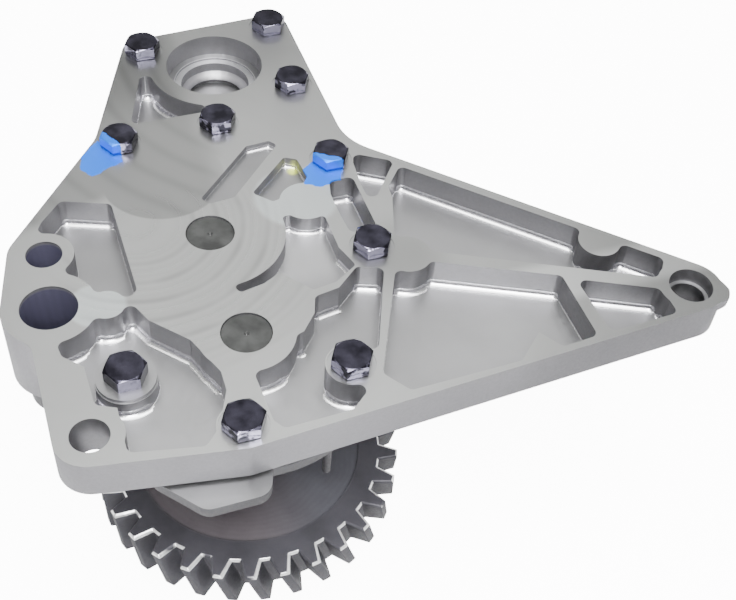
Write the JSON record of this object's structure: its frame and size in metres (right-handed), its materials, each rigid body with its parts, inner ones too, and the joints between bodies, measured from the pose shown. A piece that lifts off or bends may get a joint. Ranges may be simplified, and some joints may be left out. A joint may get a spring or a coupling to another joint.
{
  "type": "engine oil pump",
  "caption": "Gear oil pump: ribbed milled cover with a long bracket arm and ports, gear housing below, helical drive gear, hex bolts and a relief valve.",
  "frame": {"origin": "on the drive shaft's axis in the machined upper face of the cover", "axes": "+Z out of the machined face, +Y from the drive shaft to the driven shaft, +X along the bracket arm"},
  "size_m": [0.2516, 0.2342, 0.104],
  "materials": {
    "cast_aluminium": "milled face, cast sides",
    "steel": "ground",
    "black_steel": "black oxide, slightly glossy",
    "bronze": "satin",
    "soft_aluminium": "matt"
  },
  "bodies": {
    "casing": {"pump_cover": "cast_aluminium", "pump_housing": "cast_aluminium", "cover_drive_bush": "bronze", "cover_driven_bush": "bronze", "housing_drive_bush": "bronze", "housing_driven_bush": "bronze", "relief_plug": "black_steel", "relief_plug_washer": "soft_aluminium", "cover_bolts": "black_steel", "dowel_pins": "steel"},
    "drive_train": {"drive_shaft": "steel", "drive_pump_gear": "steel", "drive_pump_gear_key": "steel", "drive_gear": "black_steel", "drive_gear_key": "steel", "drive_gear_spacer": "steel", "drive_gear_washer": "steel", "drive_gear_nut": "black_steel"},
    "driven_train": {"driven_shaft": "steel", "driven_pump_gear": "steel", "driven_pump_gear_key": "steel"},
    "valve": {"relief_plunger": "steel", "relief_spring": "steel"}
  },
  "joints": [
    {"name": "drive_spin", "type": "hinge", "parent": "casing", "child": "drive_train", "pos_m": [0, 0, 0], "axis": [0, 0, 1], "continuous": true},
    {"name": "driven_spin", "type": "hinge", "parent": "casing", "child": "driven_train", "pos_m": [0, 0.05, 0], "axis": [0, 0, 1], "continuous": true},
    {"name": "relief_slide", "type": "slide", "parent": "casing", "child": "valve", "axis": [0, 0, 1], "range_m": [0, 0.006], "stiffness_N_per_m": 4000, "springref_m": -0.004, "deforming": ["relief_spring"]}
  ],
  "couplings": [
    {"joint": "driven_spin", "follows": "drive_spin", "ratio": -1}
  ]
}
